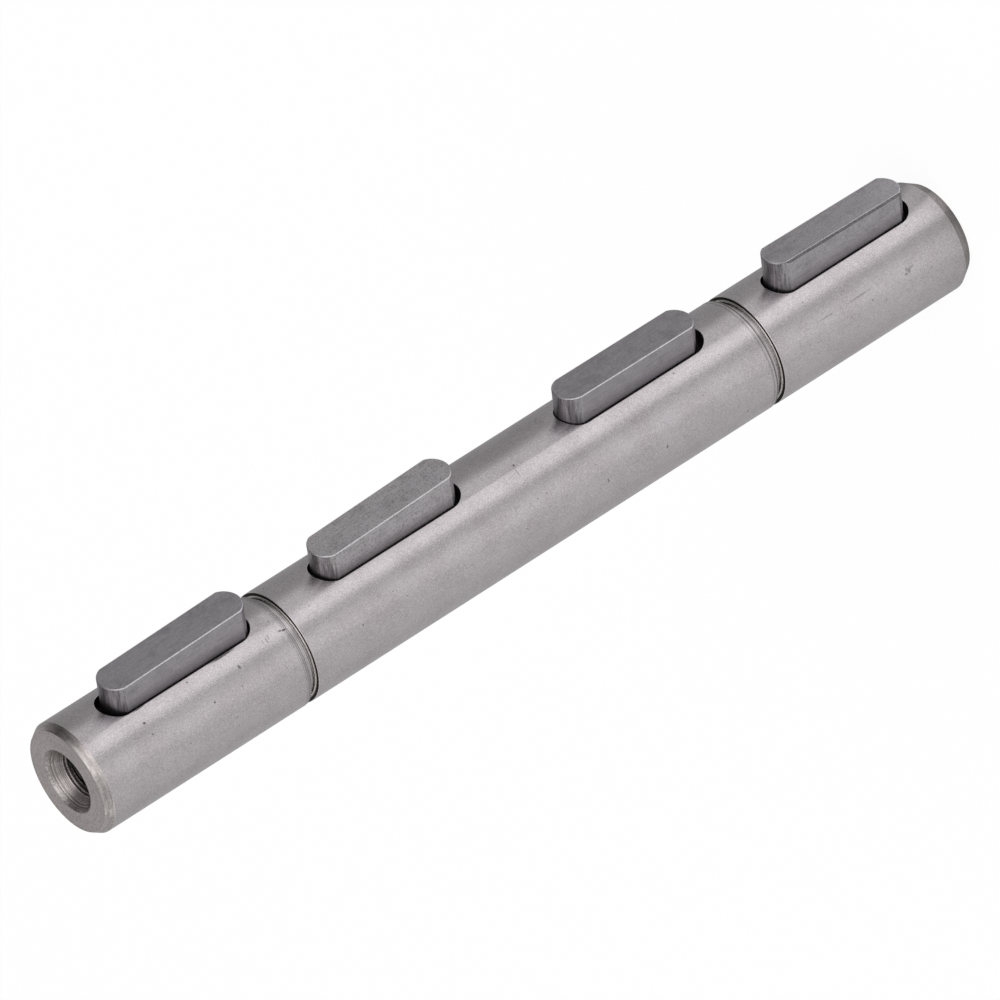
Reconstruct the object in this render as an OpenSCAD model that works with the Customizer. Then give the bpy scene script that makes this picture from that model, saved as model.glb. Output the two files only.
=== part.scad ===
// Double ended output shaft of a gear unit, with its four parallel keys.
// It stands on its lower end: Z runs along the axis, the origin is the centre of the lower end face,
// and the keys face the front, -Y. All sizes are millimetres.

/* [Shaft] */
// Diameter of the ground bar
shaft_d = 25; // [22:0.5:40]
// Length over both end faces
shaft_l = 230.3; // [225:0.1:320]
// Length of the lead-in bevel at the upper end
upper_bevel_l = 1.75; // [0.5:0.05:4]
// Length of the lead-in bevel at the lower end
lower_bevel_l = 2.7; // [0.5:0.05:4]
// Angle of both bevels from the axis
bevel_angle = 32; // [15:1:40]

/* [Ring grooves] */
// Length of the upper journal, from its end face to its ring groove
upper_journal_l = 52.4; // [50:0.1:56]
// Length of the lower journal, from its end face to its ring groove
lower_journal_l = 52; // [48:0.1:56]
// Width of each retaining ring groove
groove_w = 1.9; // [1:0.1:3]
// Depth of each retaining ring groove
groove_depth = 1; // [0.4:0.1:2]

/* [Keyways] */
// Depth of every keyway below the crown of the shaft
keyway_depth = 4.4; // [3:0.1:5]
// How much longer every keyway is than its key
keyway_play = 2.2; // [2.1:0.1:4]
// Bar left between the upper end face and its keyway
upper_output_margin = 9.6; // [5:0.05:11]
// Bar left between the upper ring groove and the upper gear keyway
upper_gear_margin = 10.35; // [4:0.05:14]
// Bar left between the lower ring groove and the lower gear keyway
lower_gear_margin = 9.35; // [4:0.05:14]
// Bar left between the lower end face and its keyway
lower_output_margin = 7.5; // [5:0.05:9]

/* [Keys] */
// Width of every key
key_b = 8; // [6:0.5:10]
// Height of every key
key_h = 10; // [7:0.1:12]
// Length of every key, over its milled ends
key_l = 35.4; // [20:0.1:38]
// How much larger the radius of each key's upper end is than half its width, upper key first
key_upper_end_over = [0.2, 0.3, 0.05, 0.05]; // [0:0.05:2]
// How much larger the radius of every key's lower end is than half its width
key_lower_end_over = 0.4; // [0:0.05:2]
// Clearance between a key and each side wall of its keyway
key_side_gap = 0.3; // [0.1:0.05:0.4]
// Gap from the upper end of each keyway to the foot of its key, upper key first
key_end_gap = [1.6, 0.9, 0.2, 0.75]; // [0.2:0.05:1.9]
// How far the upper end of each key stands off the keyway floor, upper key first
key_upper_lift = [0.1, 0.05, 0.25, 0.65]; // [0.05:0.05:1.5]
// How far the lower end of each key stands off the keyway floor, upper key first
key_lower_lift = [1.2, 1.5, 0.05, 0.05]; // [0.05:0.05:1.5]
// How far each key leans to +X, as a share of what its side clearance lets it, upper key first
key_lean = [0, 0, 0.2, 0.4]; // [0:0.05:0.9]
// Bevel along the long edges of each key, upper key first
key_bevel = [0.15, 0.15, 0.15, 0.45]; // [0.1:0.05:0.8]
// Bevel around the ends of every key
key_end_bevel = 0.15; // [0.1:0.05:0.8]

/* [Centre holes] */
// Mouth diameter of the 60 degree centre in each end
centre_d = 14.2; // [12:0.1:16]
// Diameter over the thread roots
thread_d = 10; // [8:0.5:10.5]
// Pitch of the thread, which sets the tapping drill
thread_pitch = 1.5; // [1:0.25:1.75]
// Length of the thread
thread_l = 18; // [10:0.5:24]
// Clearance around the thread in the recess between it and the centre
recess_gap = 0.25; // [0.1:0.05:0.5]
// Length of the recess
recess_l = 0.6; // [0.2:0.1:3]
// Depth of the tapping drill beyond the thread, to the start of its point
drill_run_out = 5; // [2:0.5:8]

/* [Hidden] */

round_fn = 96;
shaft_r = shaft_d / 2;
cut_over = 1;

centre_angle = 60;
drill_point_angle = 118;
recess_d = thread_d + 2 * recess_gap;
drill_d = thread_d - thread_pitch;
centre_depth = (centre_d - recess_d) / 2 / tan(centre_angle / 2);
thread_start = centre_depth + recess_l;
thread_end = thread_start + thread_l;
drill_end = thread_end + drill_run_out;
drill_tip = drill_end + drill_d / 2 / tan(drill_point_angle / 2);

upper_ring_z = shaft_l - upper_journal_l;
lower_ring_z = lower_journal_l;

keyway_l = key_l + keyway_play;
keyway_b = key_b + 2 * key_side_gap;
keyway_floor = shaft_r - keyway_depth;
key_pivot_h = keyway_depth / 2;
full_lean = atan(key_side_gap / key_pivot_h);

// Height of the upper end of each keyway, upper keyway first
keyway_top = [
    shaft_l - upper_output_margin,
    upper_ring_z - groove_w - upper_gear_margin,
    lower_ring_z + groove_w + lower_gear_margin + keyway_l,
    lower_output_margin + keyway_l
];

// Radius of an end face inside its lead-in bevel
function face_r(bevel_l) = shaft_r - bevel_l * tan(bevel_angle);

// Outline of one ring groove, from its lower wall to its upper wall
function groove_points(low_z) = [
    [shaft_r, low_z],
    [shaft_r - groove_depth, low_z],
    [shaft_r - groove_depth, low_z + groove_w],
    [shaft_r, low_z + groove_w]
];

// The bar as it leaves the lathe
module turned_bar() {
    rotate_extrude($fn = round_fn)
        polygon(concat(
            [[0, 0], [face_r(lower_bevel_l), 0], [shaft_r, lower_bevel_l]],
            groove_points(lower_ring_z),
            groove_points(upper_ring_z - groove_w),
            [[shaft_r, shaft_l - upper_bevel_l], [face_r(upper_bevel_l), shaft_l], [0, shaft_l]]
        ));
}

// Tapped centre hole, drawn with its mouth at the origin and running down
module centre_hole() {
    rotate_extrude($fn = round_fn)
        polygon([
            [0, cut_over],
            [centre_d / 2 + cut_over * tan(centre_angle / 2), cut_over],
            [recess_d / 2, -centre_depth],
            [recess_d / 2, -thread_start],
            [thread_d / 2, -thread_start],
            [thread_d / 2, -thread_end],
            [drill_d / 2, -thread_end],
            [drill_d / 2, -drill_end],
            [0, -drill_tip]
        ]);
}

// Cutter of one keyway, drawn from its upper end down, with its floor facing the front
module keyway_cutter() {
    cut_h = keyway_depth + cut_over;
    for (end_z = [-keyway_b / 2, keyway_b / 2 - keyway_l])
        translate([0, -keyway_floor, end_z])
            rotate([90, 0, 0])
                cylinder(h = cut_h, d = keyway_b, $fn = round_fn);
    translate([-keyway_b / 2, -keyway_floor - cut_h, keyway_b / 2 - keyway_l])
        cube([keyway_b, cut_h, keyway_l - keyway_b]);
}

// The finished shaft
module shaft() {
    color("silver")
        difference() {
            turned_bar();
            for (top_z = keyway_top)
                translate([0, 0, top_z])
                    keyway_cutter();
            translate([0, 0, shaft_l])
                centre_hole();
            mirror([0, 0, 1])
                centre_hole();
        }
}

// Section of a key with bevelled edges, standing on its foot
function key_section(bevel) = [
    [key_b / 2 - bevel, 0],
    [key_b / 2, bevel],
    [key_b / 2, key_h - bevel],
    [key_b / 2 - bevel, key_h],
    [bevel - key_b / 2, key_h],
    [-key_b / 2, key_h - bevel],
    [-key_b / 2, bevel],
    [bevel - key_b / 2, 0]
];

// What the end mill takes off a key's end, drawn about the axis of its arc, with the end toward -X
module end_waste(end_r) {
    difference() {
        translate([-end_r - cut_over, -key_b, -cut_over])
            cube([end_r + cut_over, 2 * key_b, key_h + 2 * cut_over]);
        rotate_extrude($fn = round_fn)
            polygon([
                [0, -cut_over],
                [end_r - key_end_bevel - cut_over, -cut_over],
                [end_r, key_end_bevel],
                [end_r, key_h - key_end_bevel],
                [end_r - key_end_bevel - cut_over, key_h + cut_over],
                [0, key_h + cut_over]
            ]);
    }
}

// Parallel key: its foot starts at the origin, its length runs along +X, its height along +Z
module parallel_key(bevel, upper_end_over) {
    upper_end_r = key_b / 2 + upper_end_over;
    lower_end_r = key_b / 2 + key_lower_end_over;
    difference() {
        rotate([90, 0, 90])
            linear_extrude(height = key_l)
                polygon(key_section(bevel));
        translate([upper_end_r, 0, 0])
            end_waste(upper_end_r);
        translate([key_l - lower_end_r, 0, 0])
            mirror([1, 0, 0])
                end_waste(lower_end_r);
    }
}

// Turns a key sideways about the middle of its wall in the keyway, with its lowest edge where its foot was
module leaning(angle) {
    lowest_drop = key_b / 2 * sin(angle) - key_pivot_h * (1 - cos(angle));
    translate([0, 0, key_pivot_h + lowest_drop])
        rotate([-angle, 0, 0])
            translate([0, 0, -key_pivot_h])
                children();
}

// Key i in its keyway: its length runs down the shaft and its height out of the front
module seated_key(i) {
    tilt = atan((key_lower_lift[i] - key_upper_lift[i]) / key_l);
    color("gray")
        translate([0, -keyway_floor - key_upper_lift[i], keyway_top[i] - key_end_gap[i]])
            rotate([0, 90, -90])
                rotate([0, -tilt, 0])
                    leaning(key_lean[i] * full_lean)
                        parallel_key(key_bevel[i], key_upper_end_over[i]);
}

module upper_output_key() {
    seated_key(0);
}

module upper_gear_key() {
    seated_key(1);
}

module lower_gear_key() {
    seated_key(2);
}

module lower_output_key() {
    seated_key(3);
}

shaft();
upper_output_key();
upper_gear_key();
lower_gear_key();
lower_output_key();
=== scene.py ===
"""Looks of a double ended transmission output shaft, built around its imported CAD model.

The bar and its four keys keep their CAD solids and get their finishes here. The turns of the
thread in both centre holes are added, because the solids stop at the thread's root diameter.
"""

from __future__ import annotations

import logging
import math
from dataclasses import dataclass, field
from enum import Enum

import bpy
from mathutils import Matrix, Vector

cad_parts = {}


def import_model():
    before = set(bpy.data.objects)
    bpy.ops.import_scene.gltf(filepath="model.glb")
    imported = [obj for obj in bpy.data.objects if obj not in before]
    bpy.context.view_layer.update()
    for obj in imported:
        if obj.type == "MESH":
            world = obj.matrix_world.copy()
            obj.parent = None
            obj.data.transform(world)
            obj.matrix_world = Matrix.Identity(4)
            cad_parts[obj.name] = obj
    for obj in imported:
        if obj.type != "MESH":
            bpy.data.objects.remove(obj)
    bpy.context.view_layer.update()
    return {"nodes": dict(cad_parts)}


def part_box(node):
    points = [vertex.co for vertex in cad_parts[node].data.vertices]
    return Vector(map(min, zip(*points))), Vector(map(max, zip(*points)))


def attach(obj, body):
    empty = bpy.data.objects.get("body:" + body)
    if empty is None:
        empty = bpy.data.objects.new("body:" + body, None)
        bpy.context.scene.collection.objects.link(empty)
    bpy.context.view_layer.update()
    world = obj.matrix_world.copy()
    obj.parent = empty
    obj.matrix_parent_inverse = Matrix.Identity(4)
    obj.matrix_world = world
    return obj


LOG = logging.getLogger("output_shaft")
BODY = "root"
MM = 0.001
WHITE = (1.0, 1.0, 1.0, 1.0)

Tree = bpy.types.NodeTree
Socket = bpy.types.NodeSocket
Maps = dict[str, bpy.types.NodeSocket]


def linear(code: str) -> tuple[float, float, float, float]:
    """Turns an sRGB hex colour into the linear colour that a shader takes.

    Args:
        code: Six hex digits, with or without a leading hash.

    Returns:
        Linear red, green and blue, with an alpha of one.
    """
    parts = [int(code.lstrip("#")[i:i + 2], 16) / 255 for i in (0, 2, 4)]
    toned = [c / 12.92 if c <= 0.04045 else ((c + 0.055) / 1.055) ** 2.4 for c in parts]
    return toned[0], toned[1], toned[2], 1.0


def node(tree: Tree, kind: str, inputs: dict | None = None,
         stops: list[tuple[float, tuple]] | None = None, **settings) -> bpy.types.Node:
    """Adds one node with its settings, values and links.

    Args:
        tree: Tree that takes the node.
        kind: Blender's identifier of the node type.
        inputs: Value or output socket for each input, by name or by index.
        stops: Place and linear colour of each stop, where the node has a colour ramp.
        settings: Attributes of the node itself, such as operation.

    Returns:
        The new node.
    """
    made = tree.nodes.new(kind)
    for name, value in settings.items():
        setattr(made, name, value)
    for name, value in (inputs or {}).items():
        if isinstance(value, bpy.types.NodeSocket):
            tree.links.new(value, made.inputs[name])
        else:
            made.inputs[name].default_value = value
    if stops:
        elements = made.color_ramp.elements
        while len(elements) < len(stops):
            elements.new(1.0)
        for element, (position, colour) in zip(elements, stops):
            element.position = position
            element.color = colour
    return made


def fresh_material(name: str) -> bpy.types.Material:
    """Returns a new, empty material that uses nodes."""
    material = bpy.data.materials.new(name)
    material.use_nodes = True
    material.node_tree.nodes.clear()
    return material


def placed(name: str, data: bpy.types.ID) -> bpy.types.Object:
    """Returns a new object in the scene that holds a mesh, a lamp or a camera."""
    made = bpy.data.objects.new(name, data)
    bpy.context.scene.collection.objects.link(made)
    return made


def within(tree: Tree, value: Socket, low: float, high: float, soft: float = 0.02 * MM) -> Socket:
    """Marks where a value lies between two limits.

    Args:
        tree: Tree that takes the nodes.
        value: The value, such as a height on the bar.
        low: Lower limit.
        high: Upper limit.
        soft: Width over which the mark fades out past each limit.

    Returns:
        One between the limits and zero outside them.
    """
    above = node(tree, "ShaderNodeMapRange", {
        "Value": value, "From Min": low - soft, "From Max": low}).outputs["Result"]
    below = node(tree, "ShaderNodeMapRange", {
        "Value": value, "From Min": high + soft, "From Max": high}).outputs["Result"]
    return node(tree, "ShaderNodeMath", {0: above, 1: below}, operation="MINIMUM").outputs["Value"]


def weighted_sum(tree: Tree, terms: list[tuple[Socket, Socket | float]],
                 base: float = 0.0) -> Socket:
    """Adds up several values, each times its weight.

    Args:
        tree: Tree that takes the nodes.
        terms: Each value with its weight.
        base: Number that they are added to.

    Returns:
        The sum.
    """
    total = base
    for value, weight in terms:
        total = node(tree, "ShaderNodeMath", {0: value, 1: weight, 2: total},
                     operation="MULTIPLY_ADD").outputs["Value"]
    return total


def axis_distance(tree: Tree, place: Socket) -> Socket:
    """Measures how far a point is from the bar's axis.

    Args:
        tree: Tree that takes the nodes.
        place: Object coordinates.

    Returns:
        The distance in metres.
    """
    flat = node(tree, "ShaderNodeVectorMath", {0: place, 1: (1.0, 1.0, 0.0)},
                operation="MULTIPLY").outputs["Vector"]
    return node(tree, "ShaderNodeVectorMath", {0: flat}, operation="LENGTH").outputs["Value"]


def broken_edges(tree: Tree, radius: float, normal: Socket) -> tuple[Socket, Socket]:
    """Rounds the sharp edges of a solid in its shading.

    Args:
        tree: Tree that takes the nodes.
        radius: Radius of the broken edges in metres.
        normal: Normal of the solid's own face.

    Returns:
        The rounded normal, and its cosine to the face's own, which falls below one at an edge.
    """
    rounded = node(tree, "ShaderNodeBevel", {"Radius": radius}, samples=8).outputs["Normal"]
    cosine = node(tree, "ShaderNodeVectorMath", {0: rounded, 1: normal},
                  operation="DOT_PRODUCT").outputs["Value"]
    return rounded, cosine


@dataclass(frozen=True)
class Layer:
    """A colour over the ones below it, as strong as a value and its masks say.

    Attributes:
        colour: The colour, as a hex code or a socket.
        value: What its share follows, such as a noise or a mask.
        start: Value at which it starts to show.
        full: Value at which it is strongest.
        least: Its share at the start, from 0 to 1.
        most: Its share at its strongest.
        masks: What its share is multiplied by.
    """

    colour: Socket | str
    value: Socket
    start: float = 0.0
    full: float = 1.0
    least: float = 0.0
    most: float = 1.0
    masks: tuple[Socket, ...] = ()

    def over(self, tree: Tree, base: Socket | str) -> Socket:
        """Lays the colour over another.

        Args:
            tree: Tree that takes the nodes.
            base: The colour below, as a hex code or a socket.

        Returns:
            The mixed colour.
        """
        share = node(tree, "ShaderNodeMapRange", {
            "Value": self.value, "From Min": self.start, "From Max": self.full,
            "To Min": self.least, "To Max": self.most}).outputs["Result"]
        for mask in self.masks:
            share = node(tree, "ShaderNodeMath", {0: share, 1: mask},
                         operation="MULTIPLY").outputs["Value"]
        below, above = (linear(colour) if isinstance(colour, str) else colour
                        for colour in (base, self.colour))
        return node(tree, "ShaderNodeMix", {"Factor": share, 6: below, 7: above},
                    data_type="RGBA").outputs[2]


def layered(tree: Tree, base: Socket | str, layers: tuple[Layer, ...]) -> Socket:
    """Lays several colours over a first one.

    Args:
        tree: Tree that takes the nodes.
        base: The lowest colour, as a hex code or a socket.
        layers: The layers from the lowest to the highest.

    Returns:
        The colour with all of them on it.
    """
    for layer in layers:
        base = layer.over(tree, base)
    return base


@dataclass(frozen=True)
class Noise:
    """One scale of unevenness in a surface.

    Attributes:
        size: Size of its spots in metres.
        detail: Number of finer scales in it.
        roughness: How strong each finer scale is.
        stretch: Scale of the part's axes in it, below one along which it is drawn out.
    """

    size: float
    detail: float
    roughness: float = 0.5
    stretch: tuple[float, float, float] = (1.0, 1.0, 1.0)

    def drawn(self, tree: Tree, place: Socket) -> bpy.types.NodeOutputs:
        """Draws it on a surface.

        Args:
            tree: Tree that takes the nodes.
            place: Object coordinates.

        Returns:
            The noise as a value, Fac, and as three values at once, Color.
        """
        stretched = node(tree, "ShaderNodeMapping", {"Vector": place, "Scale": self.stretch})
        return node(tree, "ShaderNodeTexNoise", {
            "Vector": stretched.outputs["Vector"], "Scale": 1 / self.size,
            "Detail": self.detail, "Roughness": self.roughness}).outputs


@dataclass(frozen=True)
class Pits:
    """Small round pits, strewn over a surface at one in each of some cells.

    Attributes:
        pitch: Spacing of the cells in metres.
        empty: Share of the cells that hold no pit.
        widest: Radius of the widest pit, as a share of the pitch.
        rim: Width over which a pit's rim fades, as a share of the pitch.
    """

    pitch: float
    empty: float
    widest: float
    rim: float = 0.05

    def drawn(self, tree: Tree, place: Socket) -> Socket:
        """Draws them on a surface.

        Args:
            tree: Tree that takes the nodes.
            place: Object coordinates.

        Returns:
            One in a pit and zero outside.
        """
        cell = node(tree, "ShaderNodeTexVoronoi", {
            "Vector": place, "Scale": 1 / self.pitch}).outputs
        chance = node(tree, "ShaderNodeSeparateColor", {"Color": cell["Color"]}).outputs["Red"]
        radius = node(tree, "ShaderNodeMapRange", {
            "Value": chance, "From Min": self.empty, "To Max": self.widest}).outputs["Result"]
        inside = node(tree, "ShaderNodeMath", {0: radius, 1: cell["Distance"]},
                      operation="SUBTRACT").outputs["Value"]
        return node(tree, "ShaderNodeMapRange", {
            "Value": inside, "From Max": self.rim}).outputs["Result"]


@dataclass(frozen=True)
class Blemish:
    """One nick, pit or smear that wear left on the metal.

    Attributes:
        angle: Azimuth around the bar in degrees.
        height: Height on the bar in millimetres.
        reach: Half its length in millimetres, along the bar.
        width: Half its width in millimetres, around the bar.
        depth: How dark it is, from 0 to 1.
    """

    angle: float
    height: float
    reach: float
    width: float
    depth: float


@dataclass(frozen=True)
class GroundBarSteel:
    """Carbon steel bar, centreless ground, with turned ends and grooves and milled keyways.

    The wheel leaves the round part bright, with a fine grain and a soft mirror that is drawn out
    along the axis. The end faces, bevels, grooves and centre holes were turned, so rings run around
    them and look duller. The keyways were milled, and their cut faces are coloured darker.

    Attributes:
        tone: Colour of the clean metal.
        stain: Colour of its cloudy patches.
        grain_light: Colour of the raised grain.
        grain_dark: Colour between the grain.
        nick: Colour of the marks of wear.
        turned: Colour of the turned surfaces.
        groove_bottom: Colour of the floors of the ring grooves.
        ring_dark: Colour in the turning marks.
        keyway_dark: Darker colour of the walls of the keyways.
        wall_shade_colour: Colour of the painted shade on the outer part of a groove's walls.
        rubbed: Rubbed bright ridges and edges, and the painted highlights on edges and in grooves.
        roughness: Roughness of the ground surface.
        turned_roughness: Roughness of the turned surfaces.
        anisotropy: How far a highlight is drawn out along the axis.
        groove_anisotropy: The same in the ring grooves.
        grit: Ground grain, drawn coarser than the real grain.
        mottle: Uneven spots in the grain.
        clouds: Slow patches, where the metal is a little duller.
        lines: Short lines around the bar, which the wheel and the tool left.
        chatter: Torn spots on the turned surfaces.
        ragged: Unevenness of the outlines of nicks and smears.
        ragged_by: How far it moves them, in metres.
        pits: The small pits.
        ring_pitch: Spacing of the turning marks in metres, drawn coarser than the real feed.
        edge_break: Radius of the broken edges in metres.
        relief: Height of the grain and the turning marks in metres.
        radius: Radius of the bar.
        length: Length of the bar.
        upper_bevel: Length of the upper lead-in bevel.
        lower_bevel: Length of the lower lead-in bevel.
        bevel_depth: How far a bevel reaches in from the bar's surface.
        slack: How far inside the bar's surface the cut surfaces start.
        blur: Width over which the edges of the cut surfaces fade.
        centre_radius: Radius of the centre holes at their mouths.
        groove_radius: Radius at the floor of the ring grooves.
        groove_width: Width of the ring grooves.
        grooves: Height of the lower wall of each ring groove.
        groove_margin: How far the turned zone reaches past a groove's walls.
        corner: Width of the painted highlight band on a groove's floor, along its lower wall.
        wall_shade_from_to: Heights above a groove's floor between which its walls go from a painted
            highlight to painted shade.
        scored: Width of the scored band above each groove, and of its fade.
        mouth: How far inside a centre hole's mouth its rubbed ring, also a painted highlight,
            starts and ends.
        outline: Distances from a mark's middle at which it starts to show and is full, in
            its own half sizes.
        blemishes: The marks of wear that can be told apart.
    """

    tone: str = "#D2CCCF"
    stain: str = "#C8C1C4"
    grain_light: str = "#EFEAEC"
    grain_dark: str = "#9B9596"
    nick: str = "#2C2929"
    turned: str = "#C5BDBC"
    groove_bottom: str = "#CFC9CA"
    ring_dark: str = "#565050"
    keyway_dark: str = "#6E6967"
    wall_shade_colour: str = "#2B2827"
    rubbed: str = "#F8F2F0"
    roughness: float = 0.28
    turned_roughness: float = 0.33
    anisotropy: float = 0.75
    groove_anisotropy: float = 0.2
    grit: Noise = Noise(0.26 * MM, 2.0, 0.6)
    mottle: Noise = Noise(0.9 * MM, 3.0, 0.65)
    clouds: Noise = Noise(7 * MM, 4.0, 0.55)
    lines: Noise = Noise(0.3 * MM, 3.0, 0.7, (0.12, 0.12, 1.0))
    chatter: Noise = Noise(0.55 * MM, 4.0, 0.7)
    ragged: Noise = Noise(0.45 * MM, 2.0)
    ragged_by: float = 0.5 * MM
    pits: Pits = Pits(1.7 * MM, 0.55, 0.13)
    ring_pitch: float = 0.42 * MM
    edge_break: float = 0.20 * MM
    relief: float = 0.04 * MM
    radius: float = 12.5 * MM
    length: float = 230.3 * MM
    upper_bevel: float = 1.75 * MM
    lower_bevel: float = 2.7 * MM
    bevel_depth: float = 1.05 * MM
    slack: float = 0.12 * MM
    blur: float = 0.04 * MM
    centre_radius: float = 7.1 * MM
    groove_radius: float = 11.5 * MM
    groove_width: float = 1.9 * MM
    grooves: tuple[float, ...] = (52.0 * MM, 176.0 * MM)
    groove_margin: float = 0.03 * MM
    corner: float = 0.30 * MM
    wall_shade_from_to: tuple[float, float] = (0.18 * MM, 0.30 * MM)
    scored: tuple[float, float] = (0.35 * MM, 1.10 * MM)
    mouth: tuple[float, float] = (0.08 * MM, 0.22 * MM)
    outline: tuple[float, float] = (1.25, 0.55)
    blemishes: tuple[Blemish, ...] = (
        Blemish(-125.1, 215.3, 0.30, 0.28, 0.80),
        Blemish(-137.7, 215.0, 0.24, 0.22, 0.60),
        Blemish(-147.7, 210.8, 0.20, 0.20, 0.45),
        Blemish(-143.3, 199.9, 0.26, 0.24, 0.70),
        Blemish(-128.2, 191.4, 0.28, 0.50, 0.60),
        Blemish(-167.7, 196.6, 0.50, 0.18, 0.35),
        Blemish(-111.0, 192.9, 3.20, 0.36, 0.85),
        Blemish(-110.6, 214.4, 1.60, 0.26, 0.80),
        Blemish(-120.4, 184.0, 0.16, 0.56, 0.38),
        Blemish(-121.2, 183.2, 0.17, 0.74, 0.50),
        Blemish(-119.6, 182.5, 0.15, 0.60, 0.40),
        Blemish(-120.4, 179.6, 0.48, 0.20, 0.70),
        Blemish(-121.6, 178.8, 0.52, 0.24, 0.85),
        Blemish(-145.3, 153.9, 0.20, 0.18, 0.50),
        Blemish(-157.5, 163.0, 0.24, 0.22, 0.45),
        Blemish(-156.5, 151.3, 0.22, 0.20, 0.40),
        Blemish(-142.1, 121.3, 0.10, 0.90, 0.35),
        Blemish(-106.8, 115.9, 0.22, 0.26, 0.75),
        Blemish(-113.7, 116.3, 0.12, 1.00, 0.45),
        Blemish(-72.3, 103.5, 0.24, 0.24, 0.55),
        Blemish(-168.0, 99.1, 0.16, 0.60, 0.60),
        Blemish(-171.9, 83.5, 0.28, 0.34, 0.65),
        Blemish(-190.2, 62.2, 0.26, 0.30, 0.50),
        Blemish(-157.3, 26.9, 0.22, 0.22, 0.60),
        Blemish(-146.8, 38.5, 2.40, 0.13, 0.40),
        Blemish(-146.8, 29.5, 3.10, 0.13, 0.45),
        Blemish(-153.4, 17.3, 0.55, 0.26, 0.45),
        Blemish(-151.8, 16.4, 0.38, 0.55, 0.45),
        Blemish(-149.9, 15.5, 0.66, 0.24, 0.42),
        Blemish(-149.6, 16.9, 0.28, 0.44, 0.38),
    )

    def marks(self, tree: Tree, place: Socket) -> Socket:
        """Draws the marks of wear.

        Args:
            tree: Tree that takes them.
            place: Object coordinates.

        Returns:
            How dark a point is from them, from 0 to 1.
        """
        shift = node(tree, "ShaderNodeVectorMath", {
            0: self.ragged.drawn(tree, place)["Color"], 1: (0.5, 0.5, 0.5)},
            operation="SUBTRACT").outputs["Vector"]
        moved = node(tree, "ShaderNodeVectorMath", {0: shift, 1: (self.ragged_by,) * 3, 2: place},
                     operation="MULTIPLY_ADD").outputs["Vector"]
        found = 0.0
        faint, full = self.outline
        for mark in self.blemishes:
            angle = math.radians(mark.angle)
            width, reach = mark.width * MM, mark.reach * MM
            from_middle = node(tree, "ShaderNodeVectorMath", {
                0: moved, 1: (-self.radius * math.cos(angle), -self.radius * math.sin(angle),
                              -mark.height * MM)}, operation="ADD").outputs["Vector"]
            in_sizes = node(tree, "ShaderNodeVectorMath", {
                0: from_middle, 1: (1 / width, 1 / width, 1 / reach)},
                operation="MULTIPLY").outputs["Vector"]
            off = node(tree, "ShaderNodeVectorMath", {0: in_sizes},
                       operation="LENGTH").outputs["Value"]
            dark = node(tree, "ShaderNodeMapRange", {
                "Value": off, "From Min": faint, "From Max": full, "To Max": mark.depth}
                ).outputs["Result"]
            found = node(tree, "ShaderNodeMath", {0: dark, 1: found},
                         operation="MAXIMUM").outputs["Value"]
        return found

    def groove_bands(self, tree: Tree, height: Socket, start: float, end: float,
                     soft: float = 0.02 * MM) -> Socket:
        """Marks the same band of the bar at each ring groove.

        Args:
            tree: Tree that takes the nodes.
            height: Height on the bar.
            start: Lower limit of the band, counted up from the groove's lower wall.
            end: Upper limit of the band, counted in the same way.
            soft: Width over which the mark fades out past each limit.

        Returns:
            One in the bands and zero outside them.
        """
        found = 0.0
        for wall in self.grooves:
            band = within(tree, height, wall + start, wall + end, soft)
            found = node(tree, "ShaderNodeMath", {0: band, 1: found},
                         operation="MAXIMUM").outputs["Value"]
        return found

    def zones(self, tree: Tree, reach: Socket, height: Socket, facing: Socket,
              cosine: Socket) -> Maps:
        """Marks where each tool worked, where the metal is rubbed since, and where painted
        highlights go.

        Args:
            tree: Tree that takes the nodes.
            reach: Distance from the axis.
            height: Height on the bar.
            facing: Part of the normal that points along the axis.
            cosine: Cosine that falls below one at an edge.

        Returns:
            Masks from 0 to 1: bevels, bored, turned, milled, floors, walls, corners, scored, worn.
        """
        ends = node(tree, "ShaderNodeMath", {
            0: within(tree, height, self.length - self.upper_bevel, self.length + MM),
            1: within(tree, height, -MM, self.lower_bevel)}, operation="MAXIMUM").outputs["Value"]
        bevels = node(tree, "ShaderNodeMath", {
            0: ends, 1: within(tree, reach, self.radius - self.bevel_depth, self.radius + MM)},
            operation="MULTIPLY").outputs["Value"]
        bored = within(tree, reach, -MM, self.centre_radius - 0.05 * MM, self.blur)
        cut = within(tree, reach, -MM, self.radius - self.slack, self.blur)
        grooves = node(tree, "ShaderNodeMath", {
            0: self.groove_bands(tree, height, -self.groove_margin,
                                 self.groove_width + self.groove_margin),
            1: cut}, operation="MULTIPLY").outputs["Value"]
        turned = ends
        for mask in (bored, grooves):
            turned = node(tree, "ShaderNodeMath", {0: turned, 1: mask},
                          operation="MAXIMUM").outputs["Value"]
        milled = node(tree, "ShaderNodeMath", {0: cut, 1: turned},
                      operation="SUBTRACT", use_clamp=True).outputs["Value"]

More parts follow.
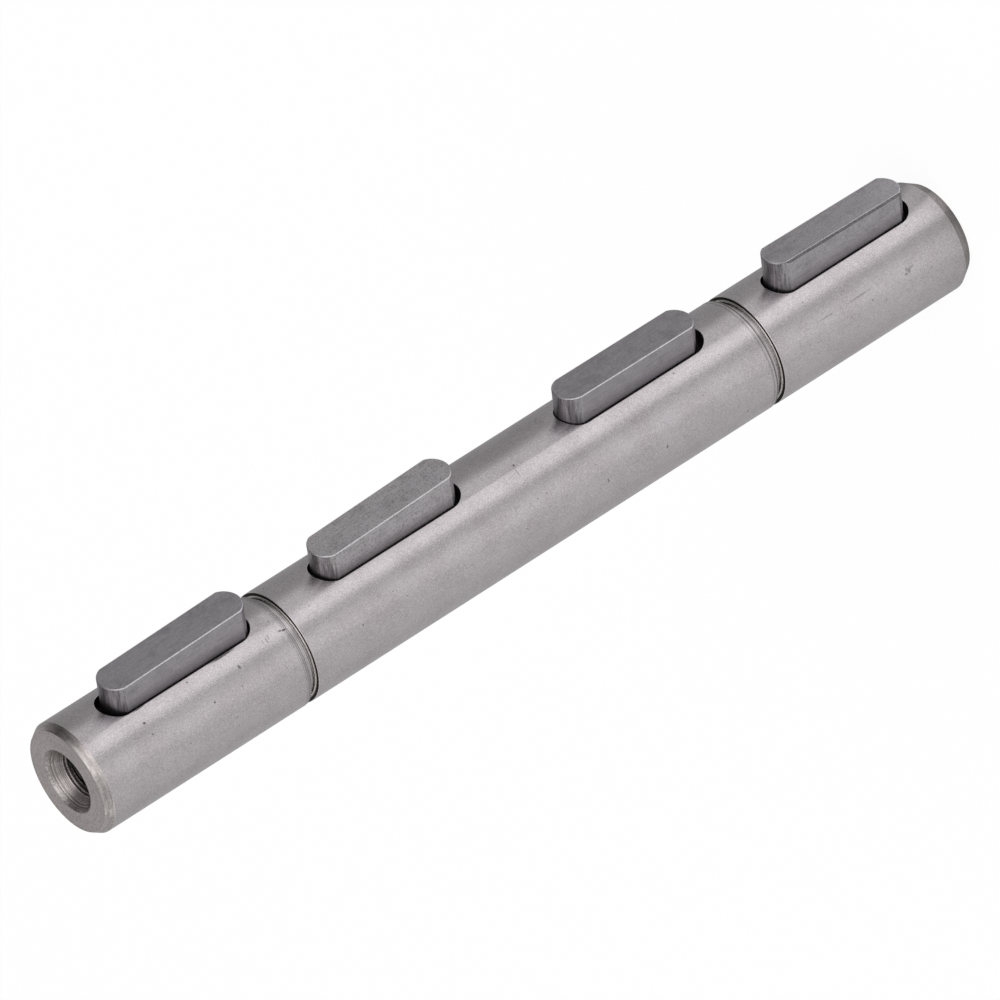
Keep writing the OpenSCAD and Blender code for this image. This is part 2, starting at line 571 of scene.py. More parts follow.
        # In a ring groove the floor faces out, and the walls face along the axis.
        steep = node(tree, "ShaderNodeMath", {0: facing}, operation="ABSOLUTE").outputs["Value"]
        outward = node(tree, "ShaderNodeMapRange", {
            "Value": steep, "From Min": 0.6, "From Max": 0.3}).outputs["Result"]
        floors = node(tree, "ShaderNodeMath", {0: grooves, 1: outward},
                      operation="MULTIPLY").outputs["Value"]
        walls = node(tree, "ShaderNodeMath", {0: grooves, 1: floors},
                     operation="SUBTRACT").outputs["Value"]
        # Painted highlight: a bright band on each groove's floor along its lower wall.
        corners = node(tree, "ShaderNodeMath", {
            0: self.groove_bands(tree, height, -MM, self.corner, 0.06 * MM), 1: floors},
            operation="MULTIPLY").outputs["Value"]
        scored_width, scored_fade = self.scored
        scored = self.groove_bands(tree, height, self.groove_width,
                                   self.groove_width + scored_width, scored_fade)
        # The bar's broken edges are rubbed bright, and this also stands as a painted highlight on
        # them.
        near_edge = node(tree, "ShaderNodeMapRange", {
            "Value": cosine, "From Min": 0.998, "From Max": 0.965}).outputs["Result"]
        worn = node(tree, "ShaderNodeMath", {0: near_edge, 1: cut},
                    operation="SUBTRACT", use_clamp=True).outputs["Value"]
        return {"bevels": bevels, "bored": bored, "turned": turned, "milled": milled,
                "floors": floors, "walls": walls, "corners": corners, "scored": scored,
                "worn": worn}

    def patterns(self, tree: Tree, place: Socket, reach: Socket, height: Socket) -> Maps:
        """Draws the grain, the pits and the turning marks.

        Args:
            tree: Tree that takes the nodes.
            place: Object coordinates.
            reach: Distance from the axis.
            height: Height on the bar.

        Returns:
            Values from 0 to 1: grit, mottle, clouds, lines, chatter, pits, rings, sharp_rings,
            and unbroken, which says where rings and rubbed edges aren't torn.
        """
        noises = {"grit": self.grit, "mottle": self.mottle, "clouds": self.clouds,
                  "lines": self.lines, "chatter": self.chatter}
        found = {name: noise.drawn(tree, place)["Fac"] for name, noise in noises.items()}
        found["pits"] = self.pits.drawn(tree, place)

        # Rings of the turning tool: they follow the radius on a face and the height on a wall.
        run = node(tree, "ShaderNodeMath", {0: reach, 1: height}, operation="ADD").outputs["Value"]
        found["rings"] = node(tree, "ShaderNodeTexNoise", {
            "W": run, "Scale": 1 / self.ring_pitch, "Detail": 2.0, "Roughness": 0.6},
            noise_dimensions="1D").outputs["Fac"]
        found["sharp_rings"] = node(tree, "ShaderNodeMapRange", {
            "Value": found["rings"], "From Min": 0.44, "From Max": 0.60}).outputs["Result"]
        found["unbroken"] = node(tree, "ShaderNodeMapRange", {
            "Value": found["chatter"], "From Min": 0.3, "From Max": 0.6, "To Min": 0.4}
            ).outputs["Result"]
        return found

    def ground_colour(self, tree: Tree, place: Socket, maps: Maps) -> Socket:
        """Colours the ground surface: a fine speckle, with pits, wear and scored rings on it.

        Args:
            tree: Tree that takes the nodes.
            place: Object coordinates.
            maps: The masks and patterns of the bar.

        Returns:
            The colour.
        """
        return layered(tree, self.stain, (
            Layer(self.tone, maps["clouds"], start=0.35, full=0.62),
            Layer(self.grain_light, maps["grit"], start=0.5, full=0.72, most=0.68),
            Layer(self.grain_dark, maps["grit"], start=0.5, full=0.28, most=0.42),
            Layer(self.grain_dark, maps["mottle"], start=0.52, full=0.3, most=0.18),
            Layer(self.ring_dark, maps["pits"], most=0.6),
            Layer(self.nick, self.marks(tree, place)),
            Layer(self.ring_dark, maps["scored"], most=0.75, masks=(maps["sharp_rings"],))))

    def turned_colour(self, tree: Tree, reach: Socket, maps: Maps) -> Socket:
        """Colours the turned surfaces: dark rings, deepest in grooves and holes, and bright ridges.
        A ring inside each centre hole's mouth is rubbed and also carries a painted highlight.

        Args:
            tree: Tree that takes the nodes.
            reach: Distance from the axis.
            maps: The masks and patterns of the bar.

        Returns:
            The colour.
        """
        # The ring inside each hole's mouth is rubbed wear and also a painted highlight.
        starts, ends = self.mouth
        mouth = within(tree, reach, self.centre_radius - ends,
                       self.centre_radius - starts, 0.12 * MM)
        ridges = node(tree, "ShaderNodeMapRange", {
            "Value": maps["rings"], "From Min": 0.44, "From Max": 0.34, "To Max": 0.7}
            ).outputs["Result"]
        bright = node(tree, "ShaderNodeMath", {0: ridges, 1: mouth},
                      operation="MAXIMUM").outputs["Value"]
        ring_depth = weighted_sum(tree, [(maps["floors"], 0.48), (maps["bored"], 0.47)], base=0.20)
        return layered(tree, self.turned, (
            Layer(self.ring_dark, maps["chatter"], start=0.55, full=0.3, most=0.45),
            Layer(self.rubbed, maps["chatter"], start=0.45, full=0.65,
                  masks=(bright, maps["bored"])),
            Layer(self.groove_bottom, maps["floors"]),
            Layer(self.rubbed, maps["lines"], start=0.45, full=0.65, most=0.48,
                  masks=(maps["bevels"],)),
            Layer(self.ring_dark, maps["sharp_rings"], masks=(ring_depth, maps["unbroken"]))))

    def height_map(self, tree: Tree, maps: Maps) -> Socket:
        """Gives the ground and the turned surfaces their relief.

        Args:
            tree: Tree that takes the nodes.
            maps: The masks and patterns of the bar.

        Returns:
            Height of the surface, in units of the relief.
        """
        ground = weighted_sum(tree, [(maps["lines"], 0.35), (maps["grit"], 1.0),
                                     (maps["mottle"], 0.45), (maps["pits"], -1.5)])
        ring_height = node(tree, "ShaderNodeMapRange", {
            "Value": maps["floors"], "To Min": 4.0, "To Max": 1.5}).outputs["Result"]
        lathe = weighted_sum(tree, [(maps["rings"], ring_height), (maps["chatter"], 1.0)])
        return node(tree, "ShaderNodeMix", {0: maps["turned"], 2: ground, 3: lathe},
                    data_type="FLOAT").outputs[0]

    def grain_direction(self, tree: Tree, place: Socket, normal: Socket) -> Socket:
        """Finds the direction across the marks, which run around the axis.

        Args:
            tree: Tree that takes the nodes.
            place: Object coordinates.
            normal: Normal of the surface.

        Returns:
            Unit vector in the surface, along which highlights are drawn out.
        """
        around = node(tree, "ShaderNodeVectorMath", {0: (0.0, 0.0, 1.0), 1: place},
                      operation="CROSS_PRODUCT").outputs["Vector"]
        across = node(tree, "ShaderNodeVectorMath", {0: normal, 1: around},
                      operation="CROSS_PRODUCT").outputs["Vector"]
        return node(tree, "ShaderNodeVectorMath", {0: across},
                    operation="NORMALIZE").outputs["Vector"]

    def build(self) -> bpy.types.Material:
        """Returns the finished material."""
        material = fresh_material("centreless_ground_steel")
        tree = material.node_tree
        place = node(tree, "ShaderNodeTexCoord").outputs["Object"]
        height = node(tree, "ShaderNodeSeparateXYZ", {"Vector": place}).outputs["Z"]
        reach = axis_distance(tree, place)
        normal = node(tree, "ShaderNodeNewGeometry").outputs["Normal"]
        facing = node(tree, "ShaderNodeSeparateXYZ", {"Vector": normal}).outputs["Z"]
        edges, cosine = broken_edges(tree, self.edge_break, normal)
        maps = (self.zones(tree, reach, height, facing, cosine)
                | self.patterns(tree, place, reach, height))

        # Painted light on the groove walls: a painted highlight next to the floor, and painted
        # shade further out.
        starts, ends = self.wall_shade_from_to
        wall_highlight_and_shade = Layer(self.wall_shade_colour, reach, start=self.groove_radius + starts,
                            full=self.groove_radius + ends).over(tree, self.rubbed)
        colour = layered(tree, self.ground_colour(tree, place, maps), (
            Layer(self.turned_colour(tree, reach, maps), maps["turned"]),
            # The keyways' cut faces are coloured darker.
            Layer(self.keyway_dark, maps["milled"], most=0.85),
            # Painted highlight along the grooves' lower corners.
            Layer(self.rubbed, maps["corners"]),
            Layer(wall_highlight_and_shade, maps["walls"]),
            # Rubbed edges, which also carry a painted highlight.
            Layer(self.rubbed, maps["worn"], masks=(maps["unbroken"],))))
        bump = node(tree, "ShaderNodeBump", {
            "Strength": 0.5, "Distance": self.relief, "Height": self.height_map(tree, maps),
            "Normal": edges}).outputs["Normal"]
        rough = node(tree, "ShaderNodeMapRange", {
            "Value": maps["turned"], "To Min": self.roughness, "To Max": self.turned_roughness}
            ).outputs["Result"]
        rough = weighted_sum(tree, [
            (rough, 1.0), (maps["clouds"], -0.04), (maps["milled"], 0.15), (maps["walls"], 0.2),
            (maps["floors"], -0.10), (maps["corners"], 0.15)])
        drawn_out = node(tree, "ShaderNodeMapRange", {
            "Value": maps["floors"], "To Min": self.anisotropy, "To Max": self.groove_anisotropy}
            ).outputs["Result"]
        shader = node(tree, "ShaderNodeBsdfPrincipled", {
            "Base Color": colour, "Metallic": 1.0, "Roughness": rough, "Anisotropic": drawn_out,
            "Tangent": self.grain_direction(tree, place, normal), "Normal": bump})
        node(tree, "ShaderNodeOutputMaterial", {"Surface": shader.outputs["BSDF"]})
        return material


@dataclass(frozen=True)
class DrawnKeySteel:
    """Cold drawn key stock: duller and greyer than the ground bar, with milled round ends.

    The flats keep fine lengthwise lines, and the end mill leaves steep streaks on the round ends.
    The long top edges carry a bright crest, partly rubbed wear and partly a painted highlight. The
    top bevels carry painted light: a highlight, and shade on the last key. Painted shade darkens
    the sides where they leave the keyway.

    Attributes:
        name: What this key's finish is.
        tone: Colour of the metal.
        worn: Colour of its grain where it is rubbed.
        stain: Colour of its oil stains, also laid as painted shade on the sides near the bar.
        bevel: Colour of the bevels along its top: a painted highlight, and on the last key painted
            shade.
        bright: Colour of the crest over them, partly rubbed wear and partly a painted highlight.
        roughness: Roughness of the drawn flats.
        wear: How strongly the rubbed grain shows, from 0 to 1.
        shade_near_bar: How dark the painted shade makes the sides near the bar, from 0 to 1.
        lines: Lengthwise lines of the drawing die.
        streaks: Steep streaks of the end mill.
        grain: Fine grain, drawn coarser than the real grain.
        patches: Slow patches of oil.
        pits: The small pits.
        edge_break: Radius of the broken edges in metres.
        relief: Height of the grain and the streaks in metres.
        bar_radius: Radius of the bar that it stands in.
        shade_heights: Heights above the bar's surface at which the painted shade starts and is
            full.
        shade_edge_moved_by: How far the patches move the edge of the painted shade, in metres.
    """

    name: str
    tone: str = "#B4B0B5"
    worn: str = "#D2CED1"
    stain: str = "#4E4A4C"
    bevel: str = "#EFECEE"
    bright: str = "#FBF9FA"
    roughness: float = 0.40
    wear: float = 0.3
    shade_near_bar: float = 0.5
    lines: Noise = Noise(0.4 * MM, 4.0, 0.65, (1.0, 1.0, 0.07))
    streaks: Noise = Noise(0.35 * MM, 3.0, 0.7, (1.0, 0.06, 1.0))
    grain: Noise = Noise(0.35 * MM, 3.0, 0.65)
    patches: Noise = Noise(3.5 * MM, 4.0, 0.6)
    pits: Pits = Pits(1.9 * MM, 0.75, 0.12)
    edge_break: float = 0.15 * MM
    relief: float = 0.04 * MM
    bar_radius: float = 12.5 * MM
    shade_heights: tuple[float, float] = (2.4 * MM, -0.4 * MM)
    shade_edge_moved_by: float = 1.2 * MM

    def build(self) -> bpy.types.Material:
        """Returns the finished material."""
        material = fresh_material(self.name)
        tree = material.node_tree
        place = node(tree, "ShaderNodeTexCoord").outputs["Object"]
        normal = node(tree, "ShaderNodeNewGeometry").outputs["True Normal"]
        edges, cosine = broken_edges(tree, self.edge_break, normal)
        lines, streaks, grain, patches = (
            noise.drawn(tree, place)["Fac"]
            for noise in (self.lines, self.streaks, self.grain, self.patches))
        pits = self.pits.drawn(tree, place)

        # Where the faces are: the milled round ends, the drawn sides, and the narrow bevels
        # between them and the top.
        facing = node(tree, "ShaderNodeSeparateXYZ", {"Vector": normal}).outputs
        lengthwise, outward = (
            node(tree, "ShaderNodeMath", {0: facing[axis]}, operation="ABSOLUTE").outputs["Value"]
            for axis in ("Z", "Y"))
        ends = node(tree, "ShaderNodeMapRange", {
            "Value": lengthwise, "From Min": 0.2, "From Max": 0.35}).outputs["Result"]
        long_edge = node(tree, "ShaderNodeMapRange", {
            "Value": lengthwise, "From Min": 0.62, "From Max": 0.30}).outputs["Result"]
        standing = within(tree, outward, -1.0, 0.2, 0.2)
        rim = within(tree, outward, 0.4, 0.9, 0.08)
        top = within(tree, outward, 0.9, 1.1, 0.08)
        near_edge = node(tree, "ShaderNodeMapRange", {
            "Value": cosine, "From Min": 0.9995, "From Max": 0.988}).outputs["Result"]
        shade_level = weighted_sum(tree, [
            (axis_distance(tree, place), 1.0), (patches, -self.shade_edge_moved_by)],
            base=-self.bar_radius)
        shade_starts, shade_full = self.shade_heights

        colour = layered(tree, self.tone, (
            Layer(self.worn, grain, start=0.5, full=0.66, most=self.wear),
            Layer(self.stain, grain, start=0.48, full=0.32, most=0.5 * self.wear + 0.08),
            Layer(self.stain, lines, start=0.52, full=0.32, most=0.20),
            Layer(self.stain, patches, start=0.5, full=0.3, most=0.22),
            Layer(self.stain, pits, most=0.6),
            Layer(self.stain, streaks, start=0.6, full=0.35, least=0.1, most=0.75,
                  masks=(ends, standing)),
            # Painted shade: the sides darken towards the bar.
            Layer(self.stain, shade_level, start=shade_starts, full=shade_full,
                  most=self.shade_near_bar, masks=(standing,)),
            # Painted highlight on the bevels along the top; a dark bevel colour is painted shade.
            Layer(self.bevel, grain, start=0.3, full=0.55, least=0.35, masks=(rim, long_edge)),
            # Bright crest along the top edges: rubbed wear and a painted highlight.
            Layer(self.bright, grain, start=0.3, full=0.55, least=0.35,
                  masks=(near_edge, top, long_edge))))
        milling = node(tree, "ShaderNodeMath", {0: streaks, 1: ends},
                       operation="MULTIPLY").outputs["Value"]
        height = weighted_sum(tree, [(lines, 0.8), (grain, 1.0), (milling, 3.0), (pits, -1.5)])
        bump = node(tree, "ShaderNodeBump", {
            "Strength": 0.4, "Distance": self.relief, "Height": height, "Normal": edges}
            ).outputs["Normal"]
        shader = node(tree, "ShaderNodeBsdfPrincipled", {
            "Base Color": colour, "Metallic": 1.0, "Roughness": self.roughness, "Normal": bump})
        node(tree, "ShaderNodeOutputMaterial", {"Surface": shader.outputs["BSDF"]})
        return material


@dataclass(frozen=True)
class TappedSteel:
    """Tapped thread in carbon steel: rubbed crests, and torn flanks with painted shade towards the
    roots.

    Attributes:
        tone: Colour of the crests.
        dark: Colour of the painted shade between them.
        roughness: Roughness of the metal.
        torn: Unevenness that the tap left.
        torn_by: How far it moves the edge of the painted shade, in metres.
        relief: Height of the torn metal in metres.
        unshaded_r: Radius up to which the crests are free of painted shade.
        shade_r: Radius from which the flanks are all painted shade.
    """

    tone: str = "#D6D0CE"
    dark: str = "#3A3635"
    roughness: float = 0.32
    torn: Noise = Noise(0.3 * MM, 3.0)
    torn_by: float = 0.3 * MM
    relief: float = 0.03 * MM
    unshaded_r: float = 4.35 * MM
    shade_r: float = 4.85 * MM

    def build(self) -> bpy.types.Material:
        """Returns the finished material."""
        material = fresh_material("tapped_steel")
        tree = material.node_tree
        place = node(tree, "ShaderNodeTexCoord").outputs["Object"]
        torn = self.torn.drawn(tree, place)["Fac"]
        reach = weighted_sum(tree, [(axis_distance(tree, place), 1.0), (torn, -self.torn_by)])
        # Painted shade: the thread darkens towards its roots.
        colour = Layer(self.dark, reach, self.unshaded_r, self.shade_r).over(tree, self.tone)
        bump = node(tree, "ShaderNodeBump", {
            "Strength": 0.3, "Distance": self.relief, "Height": torn}).outputs["Normal"]
        shader = node(tree, "ShaderNodeBsdfPrincipled", {
            "Base Color": colour, "Metallic": 1.0, "Roughness": self.roughness, "Normal": bump})
        node(tree, "ShaderNodeOutputMaterial", {"Surface": shader.outputs["BSDF"]})
        return material


class End(Enum):
    """End of the bar, with the direction out of its centre hole, up or down."""

    UPPER = 1
    LOWER = -1


@dataclass
class ScrewThread:
    """Turns of the M10 thread inside one centre hole, as a ridge swept along a helix.

    Attributes:
        end: Which end of the bar it is in.
        mouth_z: Height of that end's face, in metres.
        root_r: Radius of the thread's roots, which is the wall of the CAD bore.
        crest_r: Radius of its crests.
        pitch: Spacing of its turns.
        flank: Angle of its flanks from the radius, in degrees.
        start: Depth of the first turn below the end face.
        length: Length of the thread.
        seat: How far the ridge is set into the wall.
        steps: Rings of the ridge in one turn.
        run_out: Share of the thread over which the ridge fades at each end.
        tip: Size of the ridge at its very ends, as a share of its full size.
    """

    end: End
    mouth_z: float
    root_r: float = 5.0 * MM
    crest_r: float = 4.25 * MM
    pitch: float = 1.5 * MM
    flank: float = 30.0
    start: float = 3.80 * MM
    length: float = 18.0 * MM
    seat: float = 0.04 * MM
    steps: int = 40
    run_out: float = 0.03
    tip: float = 0.05

    @property
    def name(self) -> str:
        """Name of the piece."""
        return f"{self.end.name.lower()}_thread"

    @property
    def helix_length(self) -> float:
        """Length of the ridge's middle line along the axis, without the half turn at each end."""
        return self.length - self.pitch

    def profile(self, tree: Tree) -> Socket:
        """Adds the ridge's section: a 60 degree vee with a flat crest, its foot in the wall.

        Args:
            tree: Geometry tree that takes it.

        Returns:
            The closed curve of the section.
        """
        rise = self.root_r - self.crest_r
        foot = self.pitch * 7 / 16
        crest = foot - rise * math.tan(math.radians(self.flank))
        corners = [(self.seat, -foot), (0, -foot), (-rise, -crest),
                   (-rise, crest), (0, foot), (self.seat, foot)]
        line = node(tree, "GeometryNodeMeshLine", {"Count": len(corners)})
        index = node(tree, "GeometryNodeInputIndex").outputs["Index"]
        place = (0, 0, 0)
        for i, (x, y) in enumerate(corners):
            chosen = node(tree, "FunctionNodeCompare", {2: index, 3: i},
                          data_type="INT", operation="EQUAL").outputs["Result"]
            place = node(tree, "GeometryNodeSwitch", {
                "Switch": chosen, "False": place, "True": (x, y, 0)},
                input_type="VECTOR").outputs["Output"]
        points = node(tree, "GeometryNodeSetPosition", {
            "Geometry": line.outputs["Mesh"], "Position": place})
        curve = node(tree, "GeometryNodeMeshToCurve", {"Mesh": points.outputs["Geometry"]})
        return node(tree, "GeometryNodeSetSplineCyclic", {
            "Geometry": curve.outputs["Curve"], "Cyclic": True}).outputs["Geometry"]

    def tree(self, material: bpy.types.Material) -> Tree:
        """Builds the Geometry Nodes tree that sweeps the ridge.

        Args:
            material: Finish of the ridge.

        Returns:
            The tree.
        """
        tree = bpy.data.node_groups.new(self.name, "GeometryNodeTree")
        tree.interface.new_socket("Geometry", in_out="OUTPUT", socket_type="NodeSocketGeometry")
        for label in ("Root radius", "Length", "Turns"):
            tree.interface.new_socket(label, in_out="INPUT", socket_type="NodeSocketFloat")
        given = node(tree, "NodeGroupInput").outputs
        helix = node(tree, "GeometryNodeCurveSpiral", {
            "Resolution": self.steps, "Rotations": given["Turns"],
            "Start Radius": given["Root radius"], "End Radius": given["Root radius"],
            "Height": given["Length"], "Reverse": False})
        upright = node(tree, "GeometryNodeSetCurveNormal", {
            "Curve": helix.outputs["Curve"]}, mode="Z_UP")
        along = node(tree, "GeometryNodeSplineParameter").outputs["Factor"]
        back = node(tree, "ShaderNodeMath", {0: 1.0, 1: along},
                    operation="SUBTRACT").outputs["Value"]
        nearest = node(tree, "ShaderNodeMath", {0: along, 1: back},
                       operation="MINIMUM").outputs["Value"]
        fade = node(tree, "ShaderNodeMapRange", {
            "Value": nearest, "From Max": self.run_out, "To Min": self.tip}).outputs["Result"]
        swept = node(tree, "GeometryNodeCurveToMesh", {
            "Curve": upright.outputs["Curve"], "Profile Curve": self.profile(tree),
            "Scale": fade, "Fill Caps": True})
        solid = node(tree, "GeometryNodeRealizeInstances", {"Geometry": swept.outputs["Mesh"]})
        dressed = node(tree, "GeometryNodeSetMaterial", {
            "Geometry": solid.outputs["Geometry"], "Material": material})
        node(tree, "NodeGroupOutput", {"Geometry": dressed.outputs["Geometry"]})
        return tree

    def build(self, material: bpy.types.Material) -> bpy.types.Object:
        """Makes the ridge as a plain mesh in its place.

        Args:
            material: Finish of the ridge.

        Returns:
            The finished piece.
        """
        maker = f"{self.name}_maker"
        holder = placed(maker, bpy.data.meshes.new(maker))
        modifier = holder.modifiers.new("thread", "NODES")
        modifier.node_group = self.tree(material)
        values = {"Root radius": self.root_r, "Length": self.helix_length,
                  "Turns": self.helix_length / self.pitch}
        for item in modifier.node_group.interface.items_tree:
            if item.item_type == "SOCKET" and item.name in values:
                modifier[item.identifier] = values[item.name]
        bpy.context.view_layer.update()
        graph = bpy.context.evaluated_depsgraph_get()
        mesh = bpy.data.meshes.new_from_object(holder.evaluated_get(graph), depsgraph=graph)
        bpy.data.objects.remove(holder)

        # The helix rises from its deepest point, so the lower one is turned over.
        deepest = self.start + self.length - self.pitch / 2
        turn = math.pi if self.end is End.LOWER else 0.0
        mesh.transform(Matrix.Translation((0, 0, self.mouth_z - self.end.value * deepest))
                       @ Matrix.Rotation(turn, 4, "X"))
        return placed(self.name, mesh)


@dataclass
class OutputShaft:
    """The bar with its centre holes, and the four keys that stand in it.

    Attributes:
        bar: Finish of the bar.
        keys: Finish of each key, by its CAD node.
        tapped: Finish of the threads.
    """

    bar: GroundBarSteel = GroundBarSteel()
    keys: dict[str, DrawnKeySteel] = field(default_factory=lambda: {
        "upper_output_key": DrawnKeySteel("drawn_key_steel_dull", tone="#B8B4B9", shade_near_bar=0.6),
        "upper_gear_key": DrawnKeySteel("drawn_key_steel_grainy", tone="#CFCBCE",
                                        wear=1.0, shade_near_bar=0.65),
        "lower_gear_key": DrawnKeySteel("drawn_key_steel_even"),
        # The last key's dark bevel colour is painted shade.
        "lower_output_key": DrawnKeySteel("drawn_key_steel_rubbed", tone="#BDB9BD",
                                          bevel="#6E6A6C", wear=0.5, shade_near_bar=0.45,
                                          edge_break=0.40 * MM),
    })
    tapped: TappedSteel = TappedSteel()

    def build(self, nodes: dict[str, bpy.types.Object]) -> None:
        """Dresses the CAD nodes and adds the threads.

        Args:
            nodes: The CAD nodes by name.
        """
        for name, finish in ({"shaft": self.bar} | self.keys).items():
            material = finish.build()
            nodes[name].data.materials.clear()
            nodes[name].data.materials.append(material)
            LOG.info("dressed %s with %s", name, material.name)
        low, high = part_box("shaft")
        tapped = self.tapped.build()
        for end, mouth_z in ((End.UPPER, high.z), (End.LOWER, low.z)):
            piece = ScrewThread(end, mouth_z).build(tapped)
            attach(piece, BODY)
            LOG.info("made %s with %d faces", piece.name, len(piece.data.polygons))


@dataclass
class Studio:
    """White sweep, the ring of soft panels around it, and the camera.

    Attributes:
        panels: Azimuth in degrees around the bar and brightness of the table and panels there.
        skyline: The same for the room beyond, level with the object.
        ceiling: The same for what hangs over it.
        overhead: Rise of a direction at which the skyline starts and ends its fade to the ceiling.
        floor_size: Side of the square floor in metres.
        paper: Colour of the floor.
        glow: Brightness of the floor for the camera.
        glow_share: Share of that glow in what the camera sees. The rest is lit paper, with the
            object's shadow on it.
        table: Distance in metres at which the table starts and ends its fade to the room.
        contact: Start and end of each ring of contact shadow in metres, and the brightness at
            its start.
        lamp_place: Where the soft lamp hangs, in metres.
        lamp_aim: Point that it faces.
        lamp_size: Side of its square face in metres.
        lamp_power: Its power in watts.
        eye: Camera's place in metres.
        aim: Point on its line of sight at the bar.
        roll: Turn about the line of sight in degrees.
        lens: Focal length in millimetres.
        sensor: Width of the sensor in millimetres.
        sight: Farthest distance that the camera sees, in metres.
    """

    panels: tuple[tuple[float, float], ...] = (
        (-180, 0.66), (-176, 0.72), (-168, 0.78), (-155, 0.76), (-143, 0.69), (-136, 0.58),
        (-125, 0.57), (-119, 0.86), (-112, 1.03), (-100, 1.07), (-95, 0.97), (-90, 0.66),
        (-72, 0.70), (-66, 0.70), (-59, 0.58), (-51, 0.42), (-40, 0.38), (-12, 0.34),
        (20, 0.36), (47, 0.46), (100, 0.50), (132, 0.57), (165, 0.63), (180, 0.66))
    skyline: tuple[tuple[float, float], ...] = (
        (-180, 0.60), (-150, 0.70), (-120, 0.80), (-95, 0.60), (-70, 0.18), (-40, 0.02),
        (-10, 0.20), (15, 0.46), (60, 0.45), (110, 0.60), (130, 1.00), (180, 0.62))
    ceiling: tuple[tuple[float, float], ...] = (
        (-180, 0.70), (-150, 0.88), (-120, 0.88), (-90, 0.75), (-60, 0.28), (-20, 0.12),
        (20, 0.40), (47, 0.65), (80, 0.50), (110, 0.36), (150, 0.50), (180, 0.70))
    overhead: tuple[float, float] = (0.22, 0.55)
    floor_size: float = 8.0
    paper: str = "#F4F4F4"
    glow: float = 1.06
    glow_share: float = 0.88
    table: tuple[float, float] = (0.7, 2.4)
    contact: tuple[tuple[float, float, float], ...] = (
        (0.0115, 0.0165, 0.60), (0.0165, 0.038, 0.80))
    lamp_place: tuple[float, float, float] = (-0.6, -1.1, 1.7)
    lamp_aim: tuple[float, float, float] = (0.0, 0.0, 0.1)
    lamp_size: float = 1.8
    lamp_power: float = 5.0
    eye: tuple[float, float, float] = (-1.571821, -1.715523, 1.297749)
    aim: tuple[float, float, float] = (0.001270, -0.000240, 0.116493)
    roll: float = 122.4576
    lens: float = 469.85
    sensor: float = 36.0
    sight: float = 20.0

    def around(self, tree: Tree, direction: Socket,
               levels: tuple[tuple[float, float], ...]) -> Socket:
        """Adds a brightness as a function of azimuth around the bar.

        Args:
            tree: Tree that takes it.
            direction: Vector from the bar's axis.
            levels: Azimuth in degrees and brightness of each stop.

        Returns:
            The brightness as a grey.
        """
        split = node(tree, "ShaderNodeSeparateXYZ", {"Vector": direction}).outputs
        azimuth = node(tree, "ShaderNodeMath", {0: split["Y"], 1: split["X"]},
                       operation="ARCTAN2").outputs["Value"]
        turn = node(tree, "ShaderNodeMapRange", {
            "Value": azimuth, "From Min": -math.pi, "From Max": math.pi}).outputs["Result"]
        stops = [((angle + 180) / 360, (level, level, level, 1.0)) for angle, level in levels]
        made = node(tree, "ShaderNodeValToRGB", {"Fac": turn}, stops=stops)
        made.color_ramp.interpolation = "EASE"
        return made.outputs["Color"]

    def world(self) -> None:
        """Lights the world: the room for the object, white for the camera."""
        world = bpy.data.worlds.new("studio")
        bpy.context.scene.world = world
        world.use_nodes = True
        tree = world.node_tree
        tree.nodes.clear()
        direction = node(tree, "ShaderNodeTexCoord").outputs["Generated"]
        rise = node(tree, "ShaderNodeSeparateXYZ", {"Vector": direction}).outputs["Z"]
        starts, ends = self.overhead
        overhead = node(tree, "ShaderNodeMapRange", {
            "Value": rise, "From Min": starts, "From Max": ends},
            interpolation_type="SMOOTHSTEP").outputs["Result"]
        room = Layer(self.around(tree, direction, self.ceiling), overhead).over(
            tree, self.around(tree, direction, self.skyline))
        panels = node(tree, "ShaderNodeBackground", {"Color": room, "Strength": 1.0})
        white = node(tree, "ShaderNodeBackground", {"Color": WHITE, "Strength": 1.0})
        seen = node(tree, "ShaderNodeLightPath").outputs["Is Camera Ray"]
        both = node(tree, "ShaderNodeMixShader", {
            0: seen, 1: panels.outputs["Background"], 2: white.outputs["Background"]})
        node(tree, "ShaderNodeOutputWorld", {"Surface": both.outputs["Shader"]})

    def mirrored_table(self, tree: Tree) -> bpy.types.Node:
        """Adds what the metal mirrors of the paper, as the panels light it.

        It fades to the room far out, and to the object's own contact shadow close in.

        Args:
            tree: Tree that takes the nodes.

        Returns:
            The emission of the paper.
        """
        place = node(tree, "ShaderNodeTexCoord").outputs["Object"]
        out = node(tree, "ShaderNodeVectorMath", {0: place}, operation="LENGTH").outputs["Value"]
        starts, ends = self.table
        far = node(tree, "ShaderNodeMapRange", {
            "Value": out, "From Min": starts, "From Max": ends},
            interpolation_type="SMOOTHSTEP").outputs["Result"]
        colour = Layer(self.around(tree, place, self.skyline), far).over(
            tree, self.around(tree, place, self.panels))
        near = 1.0
        for start, end, level in self.contact:
            ring = node(tree, "ShaderNodeMapRange", {
                "Value": out, "From Min": start, "From Max": end, "To Min": level}
                ).outputs["Result"]
            near = node(tree, "ShaderNodeMath", {0: near, 1: ring},
                        operation="MULTIPLY").outputs["Value"]
        return node(tree, "ShaderNodeEmission", {"Color": colour, "Strength": near})

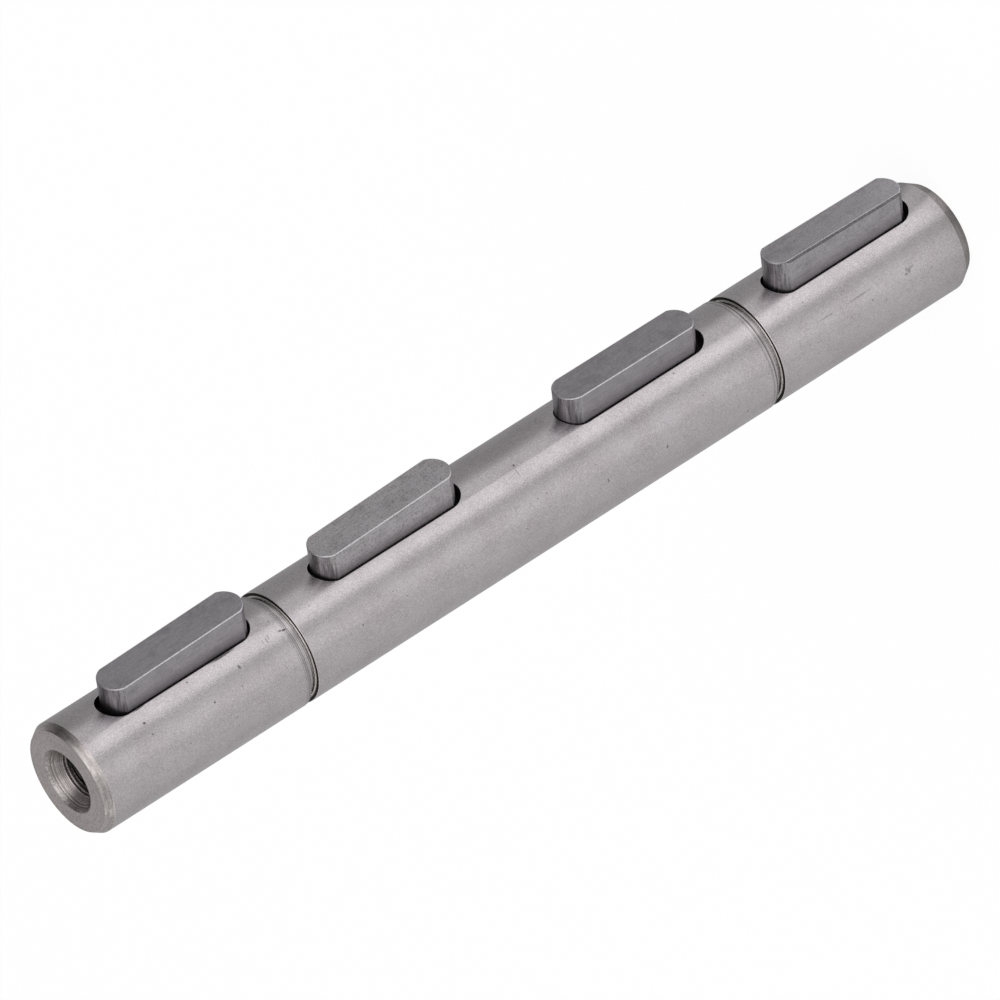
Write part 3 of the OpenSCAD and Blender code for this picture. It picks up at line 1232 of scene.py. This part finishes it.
    def sweep_paper(self) -> bpy.types.Material:
        """Returns the floor's white paper: even for the camera, and lit by the panels elsewhere."""
        material = fresh_material("white_sweep_paper")
        tree = material.node_tree
        path = node(tree, "ShaderNodeLightPath").outputs
        paper = node(tree, "ShaderNodeBsdfDiffuse", {"Color": linear(self.paper)})
        white = node(tree, "ShaderNodeEmission", {"Color": WHITE, "Strength": self.glow})
        seen = node(tree, "ShaderNodeMixShader", {
            0: self.glow_share, 1: paper.outputs["BSDF"], 2: white.outputs["Emission"]})
        mirrored = node(tree, "ShaderNodeMath", {
            0: path["Is Glossy Ray"], 1: path["Is Transmission Ray"]},
            operation="MAXIMUM").outputs["Value"]
        bounced = node(tree, "ShaderNodeMixShader", {
            0: mirrored, 1: paper.outputs["BSDF"],
            2: self.mirrored_table(tree).outputs["Emission"]})
        all_rays = node(tree, "ShaderNodeMixShader", {
            0: path["Is Camera Ray"], 1: bounced.outputs["Shader"], 2: seen.outputs["Shader"]})
        node(tree, "ShaderNodeOutputMaterial", {"Surface": all_rays.outputs["Shader"]})
        return material

    def floor(self) -> None:
        """Lays the white floor, which keeps a soft shadow of the object."""
        half = self.floor_size / 2
        corners = [(-half, -half, 0), (half, -half, 0), (half, half, 0), (-half, half, 0)]
        mesh = bpy.data.meshes.new("studio_floor")
        mesh.from_pydata(corners, [], [(0, 1, 2, 3)])
        mesh.materials.append(self.sweep_paper())
        placed("studio_floor", mesh)

    def lamp(self) -> None:
        """Hangs one square soft lamp that faces the bar."""
        light = bpy.data.lights.new("overhead_panel", "AREA")
        light.size = self.lamp_size
        light.energy = self.lamp_power
        lamp = placed("overhead_panel", light)
        lamp.location = self.lamp_place
        beam = Vector(self.lamp_aim) - Vector(self.lamp_place)
        lamp.rotation_euler = beam.to_track_quat("-Z", "Y").to_euler()

    def camera(self) -> None:
        """Adds the camera at the photograph's viewing angle."""
        data = bpy.data.cameras.new("camera")
        data.lens = self.lens
        data.sensor_width = self.sensor
        data.clip_end = self.sight
        camera = placed("camera", data)
        eye = Vector(self.eye)
        back = (eye - Vector(self.aim)).normalized()
        right = Vector((0, 0, 1)).cross(back).normalized()
        level = Matrix((right, back.cross(right), back)).transposed()
        turn = Matrix.Rotation(math.radians(-self.roll), 3, "Z")
        camera.matrix_world = Matrix.Translation(eye) @ (level @ turn).to_4x4()
        bpy.context.scene.camera = camera

    def build(self) -> None:
        """Sets up the whole studio."""
        self.world()
        self.floor()
        self.lamp()
        self.camera()
        bpy.context.scene.view_settings.view_transform = "Standard"


def main() -> None:
    """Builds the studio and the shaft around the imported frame."""
    logging.basicConfig(level=logging.INFO, format="%(name)s: %(message)s")
    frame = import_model()
    Studio().build()
    OutputShaft().build(frame["nodes"])


if __name__ == "__main__":
    main()
